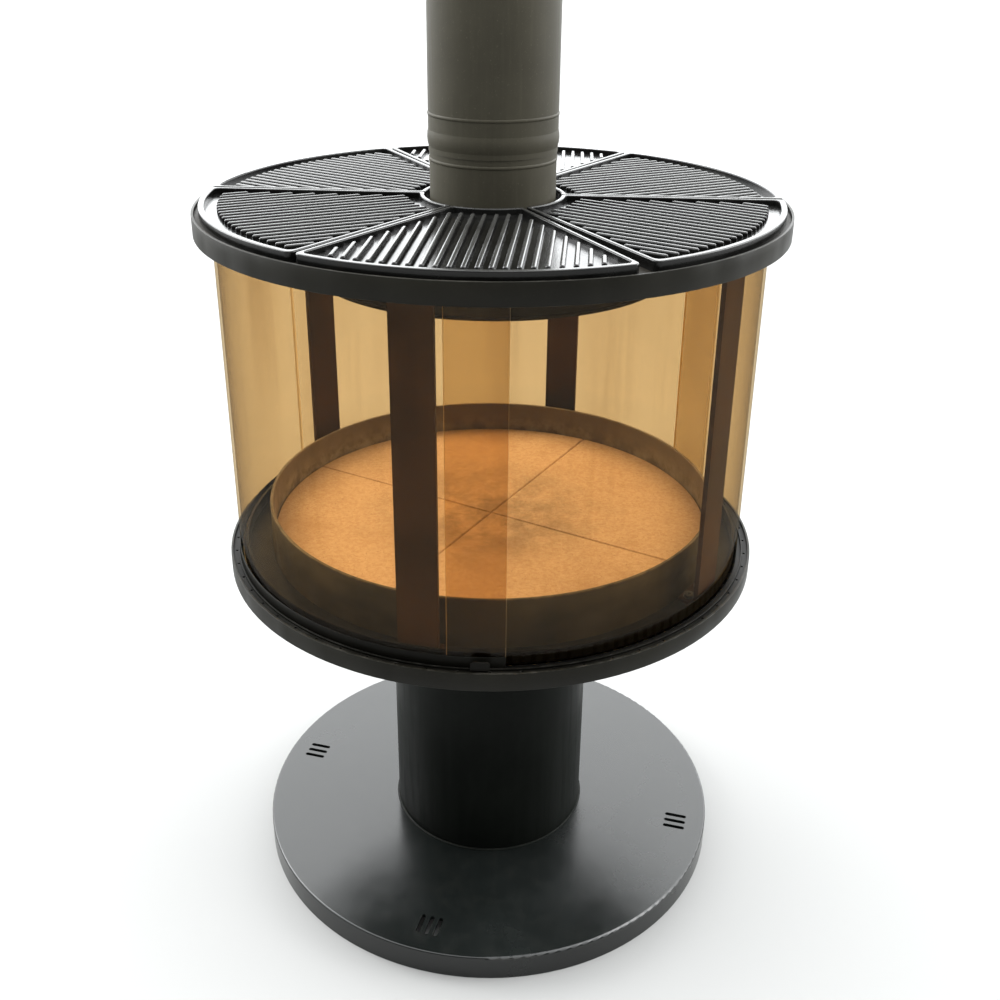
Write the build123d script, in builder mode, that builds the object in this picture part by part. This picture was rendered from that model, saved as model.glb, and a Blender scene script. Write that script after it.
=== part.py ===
"""Round garden stove on a pedestal: glazed fire chamber, six grill plates and a flue with a rain cap.

The origin is at the middle of the base's underside and +Z is up. The front is -Y.
A bearing is an angle in degrees seen from above, from the front (-Y) towards the right (+X).
"""
from build123d import *
import math
import os

# Base, a sheet-steel pan standing on its skirt
BASE_RADIUS = 328.0
BASE_HEIGHT = 35.0
BASE_SHEET = 5.0
SKIRT_WALL = 3.0
BASE_EDGE_ROUND = 3.0
SLOT_GROUP_RADIUS = 285.0
SLOT_GROUP_BEARINGS = (-15.8, 74.4, 164.0, 254.0)
SLOT_LENGTH = 31.0
SLOT_WIDTH = 6.0
SLOT_PITCH = 12.0
SLOT_COUNT = 3

# Column and its two flanges
COLUMN_RADIUS = 137.0
COLUMN_WALL = 3.0
FLANGE_INNER_RADIUS = 98.0
FLANGE_THICKNESS = 8.0
FLANGE_BOLT_CIRCLE = 115.0
FLANGE_BOLT_COUNT = 6
BOLT_RADIUS = 5.0
BOLT_HEAD_RADIUS = 9.2
BOLT_HEAD_HEIGHT = 6.4
BOLT_CLEARANCE = 0.5
TIP_RECESS = 1.0

# Hearth plate, its band and the rings that guide the glass
LEDGE_HEIGHT = 485.0
HEARTH_THICKNESS = 5.0
LOWER_BAND_RADIUS = 349.0
BAND_WALL = 3.0
LOWER_BAND_BOTTOM = 465.0
LIP_HEIGHT = 3.0
LIP_INNER_RADIUS = 337.3
LIP_OUTER_RADIUS = 339.3
AIR_HOLE_RADIUS = 1.8
AIR_HOLE_CIRCLE = 341.5
AIR_HOLE_COUNT = 60
HOOP_INNER_RADIUS = 325.0
HOOP_OUTER_RADIUS = 328.0
HOOP_HEIGHT = 17.5

# Fire pan and fireclay floor
PAN_RADIUS = 294.0
PAN_WALL = 4.0
PAN_BOTTOM = 3.0
PAN_HEIGHT = 64.5
PAN_RIM_ROUND = 1.2
SLAB_RADIUS = 288.5
SLAB_THICKNESS = 19.0
SLAB_JOINT = 1.5
SLAB_EDGE = 1.2
SLAB_COUNT = 4
FIRST_SLAB_JOINT = 60.0

# Posts between the hearth plate and the top frame
POST_BEARINGS = (-14.5, 55.0, 160.0, 231.0)
POST_WIDTH = 48.0
POST_OUTER_RADIUS = 323.0
POST_THICKNESS = 6.0
POST_TAB_RADIUS = 297.0
POST_TAB_THICKNESS = 5.0
POST_SCREW_CIRCLE = 307.0
POST_SCREW_OFFSET = 14.0
SCREW_RADIUS = 4.0
SCREW_HEAD_RADIUS = 6.5
SCREW_HEAD_HEIGHT = 4.4
SCREW_SOCKET_RADIUS = 2.6
SCREW_SOCKET_DEPTH = 2.4

# Glass: the right pane on the inner track, the back pane and the sliding pane on the outer one
GLASS_THICKNESS = 3.3
INNER_TRACK_RADIUS = 328.4
OUTER_TRACK_RADIUS = 332.3
RIGHT_SPAN = (-8.4, 123.4)
BACK_SPAN = (112.0, 237.9)
DOOR_SPAN = (-121.7, 3.0)
FIXED_TOP = 920.0
DOOR_TOP = 918.0
SEAL_THICKNESS = 2.0
ROPE_HEIGHT = 10.0
ROPE_END_GAP = 0.6

# Sliding pane's rails, glides and pull
RAIL_SHEET = 1.5
RAIL_LEG = 1.2
RAIL_BOTTOM = 487.0
RAIL_TOP = 501.5
TOP_RAIL_LEG = 6.0
GLIDE_CLEARANCE = 0.3
GLIDE_MARGIN = 0.6
GLIDE_SPAN = 3.0
GLIDE_COUNT = 4
PULL_SPAN = (-3.6, 0.0)
PULL_SHEET = 2.0
PULL_BOTTOM = 489.5
PULL_TOP = 500.0
PULL_OUTER_RADIUS = 345.0
PULL_CORNER = 4.0

# Top frame, its band and its guide hoops
FRAME_TOP = 930.0
FRAME_THICKNESS = 4.0
FRAME_RING_INNER_RADIUS = 300.0
TOP_BAND_RADIUS = 356.6
TOP_BAND_BOTTOM = 909.0
TOP_BAND_LIP = 4.0
HUB_RADIUS = 125.0
HUB_HOLE_RADIUS = 77.0
SPOKE_WIDTH = 26.0
SPOKE_BEARINGS = (25.8, 86.5, 146.2, 205.9, 265.6, 325.2)
GUIDE_DROP = 20.0

# Grill plates: raised-rim cast trays with ribs along each plate's own axis
PLATE_BEARINGS = (-5.0, 56.6, 116.3, 176.0, 235.7, 295.4)
PLATE_HALF_ANGLE = 29.4
PLATE_INNER_RADIUS = 83.0
PLATE_OUTER_RADIUS = 348.0
PLATE_CLEARANCE = 0.3
PLATE_RIM_TOP = 942.0
PLATE_FLOOR_TOP = 935.0
PLATE_OUTER_RIM = 7.0
PLATE_SIDE_RIM = 5.0
PLATE_OUTER_CORNER = 7.0
PLATE_INNER_CORNER = 3.0
PLATE_RIM_ROUND = 1.6
RIB_TOP = 940.2
RIB_WIDTH = 5.4
RIB_PITCH = 13.5
RIB_ROUND = 2.2
RIB_GUTTER = 14.0
RIB_INNER_MARGIN = 14.0
RIB_SIDE_MARGIN = 5.0
RIB_SHORTEST = 14.0
HEIGHT_MATCH = 0.01

# Flue, baffle and rain cap
FLUE_RADIUS = 76.0
STUB_WALL = 2.0
STUB_BOTTOM = 885.0
STUB_TOP = 1034.0
STUB_BEAD_HEIGHT = 985.0
COLLAR_RADIUS = 98.0
COLLAR_THICKNESS = 5.0
SECTION_WALL = 1.2
SECTION_BOTTOM = 994.0
SECTION_LENGTH = 1000.0
SOCKET_WALL = 0.8
BULGE_BOTTOM = 1000.0
BULGE_MIDDLE = 1009.0
BULGE_TOP = 1019.0
BULGE_RISE = 1.2
SECTION_BEAD_HEIGHT = 1037.0
BEAD_RADIUS = 3.0
BEAD_RISE = 0.8
BAFFLE_RADIUS = 220.0
BAFFLE_BOTTOM = 851.0
BAFFLE_THICKNESS = 5.0
ROD_RADIUS = 4.0
ROD_CIRCLE = 112.0
ROD_COUNT = 3
FIRST_ROD_ANGLE = -90.0
ROD_END = 8.0
NUT_RADIUS = 7.5
NUT_HEIGHT = 6.0
CAP_COLLAR_LENGTH = 40.0
CAP_COLLAR_WALL = 1.5
STRUT_THICKNESS = 2.0
STRUT_SPAN = 13.0
STRUT_COUNT = 3
STRUT_OVERLAP = 30.0
CAP_RIVET_DROPS = (10.0, 20.0)
RIVET_RADIUS = 2.0
RIVET_HEAD = 1.2
RIVET_TAPER = 20.0
CAP_RADIUS = 130.0
CAP_RISE = 50.0
CAP_GAP = 64.0
CAP_SHEET = 1.5
CAP_LIP = 8.0

# Heights and radii that follow from the dimensions above
HEARTH_BOTTOM = LEDGE_HEIGHT - HEARTH_THICKNESS
HEARTH_RADIUS = LOWER_BAND_RADIUS - BAND_WALL
LIP_TOP = LEDGE_HEIGHT + LIP_HEIGHT
HOOP_TOP = LEDGE_HEIGHT + HOOP_HEIGHT
COLUMN_BORE = COLUMN_RADIUS - COLUMN_WALL
SLAB_BOTTOM = LEDGE_HEIGHT + PAN_BOTTOM
FRAME_BOTTOM = FRAME_TOP - FRAME_THICKNESS
FRAME_RADIUS = TOP_BAND_RADIUS - BAND_WALL
POST_INNER_RADIUS = POST_OUTER_RADIUS - POST_THICKNESS
SECTION_TOP = SECTION_BOTTOM + SECTION_LENGTH
SECTION_RADIUS = FLUE_RADIUS + SECTION_WALL
DOOR_OUTER_RADIUS = OUTER_TRACK_RADIUS + GLASS_THICKNESS
RAIL_OUTER_RADIUS = DOOR_OUTER_RADIUS + RAIL_LEG
CAP_COLLAR_RADIUS = SECTION_RADIUS + CAP_COLLAR_WALL
CAP_RIM = SECTION_TOP + CAP_GAP
CAP_SLOPE = CAP_RISE / CAP_RADIUS
CAP_SHEET_DROP = CAP_SHEET * math.hypot(1.0, CAP_SLOPE)
CORNER = (Align.MIN, Align.MIN)

os.makedirs("parts", exist_ok=True)


def upright(bearing):
    """Plane standing on the main axis at a bearing: local x is the radius, local y the height."""
    turn = math.radians(bearing - 90.0)
    return Plane(
        origin=(0, 0, 0),
        x_dir=(math.cos(turn), math.sin(turn), 0),
        z_dir=(math.sin(turn), -math.cos(turn), 0),
    )


def level(height, bearing):
    """Horizontal plane at a height whose local x points outward at a bearing."""
    turn = math.radians(bearing - 90.0)
    return Plane(origin=(0, 0, height), x_dir=(math.cos(turn), math.sin(turn), 0), z_dir=(0, 0, 1))


def save(piece, label):
    """Label a finished piece and write it as its own STEP file."""
    piece.part.label = label
    export_step(piece.part, "parts/" + label + ".step")


def hoop(inner, outer, bottom, top, span=(0.0, 360.0)):
    """Rolled strip of rectangular section about the main axis, from one bearing to another."""
    with BuildPart() as strip:
        with BuildSketch(upright(span[0])):
            with Locations((inner, bottom)):
                Rectangle(outer - inner, top - bottom, align=CORNER)
        revolve(axis=Axis.Z, revolution_arc=span[1] - span[0])
    return strip


def flange(bottom, hole_radius):
    """Flat ring with a circle of bolt holes, fitting inside the column."""
    with BuildPart() as ring:
        with BuildSketch(Plane.XY.offset(bottom)):
            Circle(COLUMN_BORE)
            Circle(FLANGE_INNER_RADIUS, mode=Mode.SUBTRACT)
            with PolarLocations(FLANGE_BOLT_CIRCLE, FLANGE_BOLT_COUNT):
                Circle(hole_radius, mode=Mode.SUBTRACT)
        extrude(amount=FLANGE_THICKNESS)
    return ring


def hex_bolts(head_bottom, shank_top):
    """Circle of hexagon bolts pointing up, one for each flange hole."""
    with BuildPart() as bolts:
        with BuildSketch(Plane.XY.offset(head_bottom)):
            with PolarLocations(FLANGE_BOLT_CIRCLE, FLANGE_BOLT_COUNT):
                RegularPolygon(BOLT_HEAD_RADIUS, 6)
        extrude(amount=BOLT_HEAD_HEIGHT)
        with BuildSketch(Plane.XY.offset(head_bottom)):
            with PolarLocations(FLANGE_BOLT_CIRCLE, FLANGE_BOLT_COUNT):
                Circle(BOLT_RADIUS)
        extrude(amount=shank_top - head_bottom)
    return bolts


def post_screw_points():
    """Plan positions of the eight screws, two at each post."""
    points = []
    for bearing in POST_BEARINGS:
        turn = math.radians(bearing - 90.0)
        for side in (-POST_SCREW_OFFSET, POST_SCREW_OFFSET):
            x = POST_SCREW_CIRCLE * math.cos(turn) - side * math.sin(turn)
            y = POST_SCREW_CIRCLE * math.sin(turn) + side * math.cos(turn)
            points.append((x, y))
    return points


def socket_screws(seat_height, tip_height):
    """Cap screws at the post screw positions, from a seat under the head to a tip."""
    direction = 1.0 if tip_height > seat_height else -1.0
    head_end = seat_height - direction * SCREW_HEAD_HEIGHT
    with BuildPart() as screws:
        with BuildSketch(Plane.XY.offset(seat_height)):
            with Locations(*post_screw_points()):
                Circle(SCREW_RADIUS)
        extrude(amount=tip_height - seat_height)
        with BuildSketch(Plane.XY.offset(seat_height)):
            with Locations(*post_screw_points()):
                Circle(SCREW_HEAD_RADIUS)
        extrude(amount=head_end - seat_height)
        with BuildSketch(Plane.XY.offset(head_end)):
            with Locations(*post_screw_points()):
                RegularPolygon(SCREW_SOCKET_RADIUS, 6)
        extrude(amount=direction * SCREW_SOCKET_DEPTH, mode=Mode.SUBTRACT)
    return screws


def wedge(inner, outer, inset):
    """Ring sector about local x, its straight sides standing inset from the plate's edge lines."""

    def corner(radius, side):
        turn = math.radians(PLATE_HALF_ANGLE) - math.asin(inset / radius)
        return (radius * math.cos(turn), side * radius * math.sin(turn))

    with BuildSketch() as sector:
        with BuildLine():
            Line(corner(inner, -1), corner(outer, -1))
            ThreePointArc(corner(outer, -1), (outer, 0), corner(outer, 1))
            Line(corner(outer, 1), corner(inner, 1))
            ThreePointArc(corner(inner, 1), (inner, 0), corner(inner, -1))
        make_face()
        ends = sector.vertices().sort_by_distance((0, 0))
        fillet(ends[2:], PLATE_OUTER_CORNER)
        fillet(sector.vertices().sort_by_distance((0, 0))[:2], PLATE_INNER_CORNER)
    return sector.sketch


def rib_ends(offset):
    """Inner and outer ends of the rib that runs at a sideways offset from the plate's axis."""
    half = math.radians(PLATE_HALF_ANGLE)
    outer_limit = PLATE_OUTER_RADIUS - PLATE_OUTER_RIM - RIB_GUTTER
    inner_limit = PLATE_INNER_RADIUS + PLATE_SIDE_RIM + RIB_INNER_MARGIN
    side_limit = PLATE_SIDE_RIM + RIB_SIDE_MARGIN + RIB_WIDTH / 2
    along_side = abs(offset) / math.tan(half) + side_limit / math.sin(half)
    along_inner = math.sqrt(max(inner_limit ** 2 - offset ** 2, 0.0))
    end = math.sqrt(outer_limit ** 2 - offset ** 2)
    return max(along_side, along_inner), end


def bead(pipe_radius, height, bore_radius):
    """Half section of a shallow rolled bead, from the pipe's bore to just proud of its wall."""
    with BuildSketch() as swelling:
        with Locations((pipe_radius + BEAD_RISE - BEAD_RADIUS, height)):
            Circle(BEAD_RADIUS)
        with Locations((bore_radius, height)):
            Rectangle(BEAD_RADIUS, 2 * BEAD_RADIUS, align=(Align.MIN, Align.CENTER), mode=Mode.INTERSECT)
    return swelling.sketch


def cap_underside(radius):
    """Height of the cone's lower surface at a radius."""
    return CAP_RIM + (CAP_RADIUS - radius) * CAP_SLOPE - CAP_SHEET_DROP


# Base
with BuildPart() as base_plate:
    with BuildSketch():
        Circle(BASE_RADIUS)
    extrude(amount=BASE_HEIGHT)
    fillet(base_plate.faces().sort_by(Axis.Z)[-1].edges(), BASE_EDGE_ROUND)
    with BuildSketch():
        Circle(BASE_RADIUS - SKIRT_WALL)
    extrude(amount=BASE_HEIGHT - BASE_SHEET, mode=Mode.SUBTRACT)
    with BuildSketch():
        with PolarLocations(FLANGE_BOLT_CIRCLE, FLANGE_BOLT_COUNT):
            Circle(BOLT_RADIUS + BOLT_CLEARANCE)
    extrude(amount=BASE_HEIGHT, mode=Mode.SUBTRACT)
    for slot_bearing in SLOT_GROUP_BEARINGS:
        with BuildSketch(level(0, slot_bearing)):
            with Locations((SLOT_GROUP_RADIUS, 0)):
                with GridLocations(0, SLOT_PITCH, 1, SLOT_COUNT):
                    SlotOverall(SLOT_LENGTH, SLOT_WIDTH)
        extrude(amount=BASE_HEIGHT, mode=Mode.SUBTRACT)
save(base_plate, "base_plate")

# Column
column_tube = hoop(COLUMN_BORE, COLUMN_RADIUS, BASE_HEIGHT, HEARTH_BOTTOM)
save(column_tube, "column_tube")

column_foot_flange = flange(BASE_HEIGHT, BOLT_RADIUS)
save(column_foot_flange, "column_foot_flange")

foot_bolt_seat = BASE_HEIGHT - BASE_SHEET
foot_bolts = hex_bolts(foot_bolt_seat - BOLT_HEAD_HEIGHT, BASE_HEIGHT + FLANGE_THICKNESS + BOLT_RADIUS)
save(foot_bolts, "foot_bolts")

head_flange_bottom = HEARTH_BOTTOM - FLANGE_THICKNESS
column_head_flange = flange(head_flange_bottom, BOLT_RADIUS)
save(column_head_flange, "column_head_flange")

head_bolts = hex_bolts(head_flange_bottom - BOLT_HEAD_HEIGHT, LEDGE_HEIGHT - TIP_RECESS)
save(head_bolts, "head_bolts")

# Hearth plate, its band and the lower rings
with BuildPart() as hearth_plate:
    with BuildSketch(Plane.XY.offset(HEARTH_BOTTOM)):
        Circle(HEARTH_RADIUS)
        with PolarLocations(AIR_HOLE_CIRCLE, AIR_HOLE_COUNT):
            Circle(AIR_HOLE_RADIUS, mode=Mode.SUBTRACT)
        with PolarLocations(FLANGE_BOLT_CIRCLE, FLANGE_BOLT_COUNT):
            Circle(BOLT_RADIUS, mode=Mode.SUBTRACT)
        with Locations(*post_screw_points()):
            Circle(SCREW_RADIUS, mode=Mode.SUBTRACT)
    extrude(amount=HEARTH_THICKNESS)
save(hearth_plate, "hearth_plate")

lower_band = hoop(HEARTH_RADIUS, LOWER_BAND_RADIUS, LOWER_BAND_BOTTOM, LIP_TOP)
save(lower_band, "lower_band")

track_lip = hoop(LIP_INNER_RADIUS, LIP_OUTER_RADIUS, LEDGE_HEIGHT, LIP_TOP)
save(track_lip, "track_lip")

inner_hoop = hoop(HOOP_INNER_RADIUS, HOOP_OUTER_RADIUS, LEDGE_HEIGHT, HOOP_TOP)
save(inner_hoop, "inner_hoop")

# Fire pan and fireclay floor
with BuildPart() as fire_pan:
    with BuildSketch(Plane.XY.offset(LEDGE_HEIGHT)):
        Circle(PAN_RADIUS)
    extrude(amount=PAN_HEIGHT)
    with BuildSketch(Plane.XY.offset(SLAB_BOTTOM)):
        Circle(PAN_RADIUS - PAN_WALL)
    extrude(amount=PAN_HEIGHT, mode=Mode.SUBTRACT)
    fillet(fire_pan.faces().sort_by(Axis.Z)[-1].edges(), PAN_RIM_ROUND)
save(fire_pan, "fire_pan")

slab_angle = 360.0 / SLAB_COUNT
for index in range(SLAB_COUNT):
    slab_bearing = FIRST_SLAB_JOINT + slab_angle * (index + 0.5)
    with BuildPart() as hearth_slab:
        with BuildSketch(level(SLAB_BOTTOM, slab_bearing - slab_angle / 2)):
            Circle(SLAB_RADIUS)
            with Locations((SLAB_JOINT / 2, SLAB_JOINT / 2)):
                Rectangle(SLAB_RADIUS, SLAB_RADIUS, align=CORNER, mode=Mode.INTERSECT)
        extrude(amount=SLAB_THICKNESS)
        chamfer(hearth_slab.faces().sort_by(Axis.Z)[-1].edges(), SLAB_EDGE)
    save(hearth_slab, "hearth_slab_" + str(index + 1))

# Posts and their screws
for index, post_bearing in enumerate(POST_BEARINGS):
    with BuildPart() as post:
        with BuildSketch(upright(post_bearing)):
            with BuildLine():
                Polyline(
                    (POST_TAB_RADIUS, LEDGE_HEIGHT),
                    (POST_OUTER_RADIUS, LEDGE_HEIGHT),
                    (POST_OUTER_RADIUS, FRAME_BOTTOM),
                    (POST_TAB_RADIUS, FRAME_BOTTOM),
                    (POST_TAB_RADIUS, FRAME_BOTTOM - POST_TAB_THICKNESS),
                    (POST_INNER_RADIUS, FRAME_BOTTOM - POST_TAB_THICKNESS),
                    (POST_INNER_RADIUS, LEDGE_HEIGHT + POST_TAB_THICKNESS),
                    (POST_TAB_RADIUS, LEDGE_HEIGHT + POST_TAB_THICKNESS),
                    close=True,
                )
            make_face()
        extrude(amount=POST_WIDTH / 2, both=True)
        with BuildSketch(level(LEDGE_HEIGHT, post_bearing)):
            with Locations((POST_SCREW_CIRCLE, -POST_SCREW_OFFSET), (POST_SCREW_CIRCLE, POST_SCREW_OFFSET)):
                Circle(SCREW_RADIUS)
        extrude(amount=FRAME_BOTTOM - LEDGE_HEIGHT, mode=Mode.SUBTRACT)
    save(post, "post_" + str(index + 1))

post_foot_screws = socket_screws(LEDGE_HEIGHT + POST_TAB_THICKNESS, HEARTH_BOTTOM)
save(post_foot_screws, "post_foot_screws")

post_head_screws = socket_screws(FRAME_BOTTOM - POST_TAB_THICKNESS, FRAME_TOP - TIP_RECESS)
save(post_head_screws, "post_head_screws")

# Fixed glass
pane_bottom = LEDGE_HEIGHT + SEAL_THICKNESS
fixed_places = (("right", INNER_TRACK_RADIUS, RIGHT_SPAN), ("back", OUTER_TRACK_RADIUS, BACK_SPAN))
for label, track, span in fixed_places:
    fixed_pane = hoop(track, track + GLASS_THICKNESS, pane_bottom, FIXED_TOP, span)
    save(fixed_pane, "fixed_pane_" + label)
    pane_seal = hoop(track, track + GLASS_THICKNESS, LEDGE_HEIGHT, pane_bottom, span)
    save(pane_seal, "pane_seal_" + label)

pane_tape = hoop(HOOP_OUTER_RADIUS, INNER_TRACK_RADIUS, pane_bottom, HOOP_TOP, RIGHT_SPAN)
save(pane_tape, "pane_tape")

rope_span = (RIGHT_SPAN[1] + ROPE_END_GAP, BACK_SPAN[1])
pane_rope = hoop(HOOP_OUTER_RADIUS, OUTER_TRACK_RADIUS, LEDGE_HEIGHT, LEDGE_HEIGHT + ROPE_HEIGHT, rope_span)
save(pane_rope, "pane_rope")

# Sliding glass with its rails, glides and pull
door_sweep = DOOR_SPAN[1] - DOOR_SPAN[0]
door_glass = hoop(OUTER_TRACK_RADIUS, DOOR_OUTER_RADIUS, RAIL_BOTTOM + RAIL_SHEET, DOOR_TOP, DOOR_SPAN)
save(door_glass, "door_glass")

with BuildPart() as door_bottom_rail:
    with BuildSketch(upright(DOOR_SPAN[0])):
        with Locations((OUTER_TRACK_RADIUS, RAIL_BOTTOM)):
            Rectangle(RAIL_OUTER_RADIUS - OUTER_TRACK_RADIUS, RAIL_SHEET, align=CORNER)
        with Locations((DOOR_OUTER_RADIUS, RAIL_BOTTOM)):
            Rectangle(RAIL_LEG, RAIL_TOP - RAIL_BOTTOM, align=CORNER)
    revolve(axis=Axis.Z, revolution_arc=door_sweep)
save(door_bottom_rail, "door_bottom_rail")

with BuildPart() as door_top_rail:
    with BuildSketch(upright(DOOR_SPAN[0])):
        with Locations((OUTER_TRACK_RADIUS, DOOR_TOP)):
            Rectangle(RAIL_OUTER_RADIUS - OUTER_TRACK_RADIUS, RAIL_SHEET, align=CORNER)
        with Locations((DOOR_OUTER_RADIUS, DOOR_TOP - TOP_RAIL_LEG)):
            Rectangle(RAIL_LEG, TOP_RAIL_LEG, align=CORNER)
    revolve(axis=Axis.Z, revolution_arc=door_sweep)
save(door_top_rail, "door_top_rail")

glide_pitch = (door_sweep - 2 * GLIDE_SPAN) / (GLIDE_COUNT - 1)
with BuildPart() as door_glides:
    for index in range(GLIDE_COUNT):
        glide_start = DOOR_SPAN[0] + GLIDE_SPAN / 2 + index * glide_pitch
        with BuildSketch(upright(glide_start)):
            with Locations((OUTER_TRACK_RADIUS + GLIDE_MARGIN, LEDGE_HEIGHT + GLIDE_CLEARANCE)):
                Rectangle(GLASS_THICKNESS, RAIL_BOTTOM - LEDGE_HEIGHT - GLIDE_CLEARANCE, align=CORNER)
        revolve(axis=Axis.Z, revolution_arc=GLIDE_SPAN)
save(door_glides, "door_glides")

with BuildPart() as door_pull:
    with BuildSketch(upright(PULL_SPAN[0])):
        with Locations((RAIL_OUTER_RADIUS, PULL_BOTTOM)):
            Rectangle(PULL_OUTER_RADIUS - RAIL_OUTER_RADIUS, PULL_SHEET, align=CORNER)
        with Locations((PULL_OUTER_RADIUS - PULL_SHEET, PULL_BOTTOM)):
            Rectangle(PULL_SHEET, PULL_TOP - PULL_BOTTOM, align=CORNER)
    revolve(axis=Axis.Z, revolution_arc=PULL_SPAN[1] - PULL_SPAN[0])
    top_corners = door_pull.faces().sort_by(Axis.Z)[-1].edges().sort_by(SortBy.LENGTH)[:2]
    fillet(top_corners, PULL_CORNER)
save(door_pull, "door_pull")

# Top frame, its band and the guide hoops under it
with BuildPart() as top_frame:
    with BuildSketch(Plane.XY.offset(FRAME_BOTTOM)):
        Circle(FRAME_RADIUS)
        Circle(FRAME_RING_INNER_RADIUS, mode=Mode.SUBTRACT)
        Circle(HUB_RADIUS)
    extrude(amount=FRAME_THICKNESS)
    for spoke_bearing in SPOKE_BEARINGS:
        with BuildSketch(level(FRAME_BOTTOM, spoke_bearing)):
            with Locations((HUB_RADIUS - SPOKE_WIDTH / 2, 0)):
                Rectangle(
                    FRAME_RING_INNER_RADIUS - HUB_RADIUS + SPOKE_WIDTH,
                    SPOKE_WIDTH,
                    align=(Align.MIN, Align.CENTER),
                )
        extrude(amount=FRAME_THICKNESS)
    with BuildSketch(Plane.XY.offset(FRAME_BOTTOM)):
        Circle(HUB_HOLE_RADIUS)
        with Locations(*post_screw_points()):
            Circle(SCREW_RADIUS)
    extrude(amount=FRAME_THICKNESS, mode=Mode.SUBTRACT)
save(top_frame, "top_frame")

top_band = hoop(FRAME_RADIUS, TOP_BAND_RADIUS, TOP_BAND_BOTTOM, FRAME_TOP + TOP_BAND_LIP)
save(top_band, "top_band")

outer_guide_hoop = hoop(LIP_INNER_RADIUS, LIP_OUTER_RADIUS, FRAME_BOTTOM - GUIDE_DROP, FRAME_BOTTOM)
save(outer_guide_hoop, "outer_guide_hoop")

inner_guide_hoop = hoop(HOOP_INNER_RADIUS, HOOP_OUTER_RADIUS, FRAME_BOTTOM - GUIDE_DROP, FRAME_BOTTOM)
save(inner_guide_hoop, "inner_guide_hoop")

# Grill plates
plate_bottom = FRAME_TOP + PLATE_CLEARANCE
tray_inner = PLATE_INNER_RADIUS + PLATE_SIDE_RIM
tray_outer = PLATE_OUTER_RADIUS - PLATE_OUTER_RIM
rib_count = math.floor(PLATE_OUTER_RADIUS * math.sin(math.radians(PLATE_HALF_ANGLE)) / RIB_PITCH)
for index, plate_bearing in enumerate(PLATE_BEARINGS):
    with BuildPart() as grill_plate:
        with BuildSketch(level(plate_bottom, plate_bearing)):
            add(wedge(PLATE_INNER_RADIUS, PLATE_OUTER_RADIUS, 0))
        extrude(amount=PLATE_RIM_TOP - plate_bottom)
        with BuildSketch(level(PLATE_FLOOR_TOP, plate_bearing)):
            add(wedge(tray_inner, tray_outer, PLATE_SIDE_RIM))
        extrude(amount=PLATE_RIM_TOP - PLATE_FLOOR_TOP, mode=Mode.SUBTRACT)
        fillet(grill_plate.faces().sort_by(Axis.Z)[-1].edges(), PLATE_RIM_ROUND)
        for step in range(-rib_count, rib_count + 1):
            rib_start, rib_end = rib_ends(step * RIB_PITCH)
            if rib_end - rib_start >= RIB_SHORTEST:
                with BuildSketch(level(PLATE_FLOOR_TOP, plate_bearing)):
                    with Locations(((rib_start + rib_end) / 2, step * RIB_PITCH)):
                        SlotOverall(rib_end - rib_start, RIB_WIDTH)
                extrude(amount=RIB_TOP - PLATE_FLOOR_TOP)
        rib_heights = (RIB_TOP - HEIGHT_MATCH, RIB_TOP + HEIGHT_MATCH)
        fillet(grill_plate.faces().filter_by_position(Axis.Z, *rib_heights).edges(), RIB_ROUND)
    save(grill_plate, "grill_plate_" + str(index + 1))

# Flue stub with its bead, and the collar that ties it to the frame
with BuildPart() as flue_stub:
    with BuildSketch(upright(0)):
        with Locations((FLUE_RADIUS - STUB_WALL, STUB_BOTTOM)):
            Rectangle(STUB_WALL, STUB_TOP - STUB_BOTTOM, align=CORNER)
        add(bead(FLUE_RADIUS, STUB_BEAD_HEIGHT, FLUE_RADIUS - STUB_WALL))
    revolve(axis=Axis.Z)
save(flue_stub, "flue_stub")

flue_collar = hoop(FLUE_RADIUS, COLLAR_RADIUS, FRAME_BOTTOM - COLLAR_THICKNESS, FRAME_BOTTOM)
save(flue_collar, "flue_collar")

# Smoke baffle hung from the hub
with BuildPart() as smoke_baffle:
    with BuildSketch(Plane.XY.offset(BAFFLE_BOTTOM)):
        Circle(BAFFLE_RADIUS)
        with PolarLocations(ROD_CIRCLE, ROD_COUNT, start_angle=FIRST_ROD_ANGLE):
            Circle(ROD_RADIUS, mode=Mode.SUBTRACT)
    extrude(amount=BAFFLE_THICKNESS)
save(smoke_baffle, "smoke_baffle")

rod_bottom = BAFFLE_BOTTOM - ROD_END
with BuildPart() as baffle_rods:
    with BuildSketch(Plane.XY.offset(rod_bottom)):
        with PolarLocations(ROD_CIRCLE, ROD_COUNT, start_angle=FIRST_ROD_ANGLE):
            Circle(ROD_RADIUS)
    extrude(amount=FRAME_BOTTOM - rod_bottom)
save(baffle_rods, "baffle_rods")

with BuildPart() as baffle_nuts:
    for nut_bottom in (BAFFLE_BOTTOM - NUT_HEIGHT, BAFFLE_BOTTOM + BAFFLE_THICKNESS):
        with BuildSketch(Plane.XY.offset(nut_bottom)):
            with PolarLocations(ROD_CIRCLE, ROD_COUNT, start_angle=FIRST_ROD_ANGLE):
                RegularPolygon(NUT_RADIUS, 6)
                Circle(ROD_RADIUS, mode=Mode.SUBTRACT)
        extrude(amount=NUT_HEIGHT)
save(baffle_nuts, "baffle_nuts")

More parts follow.
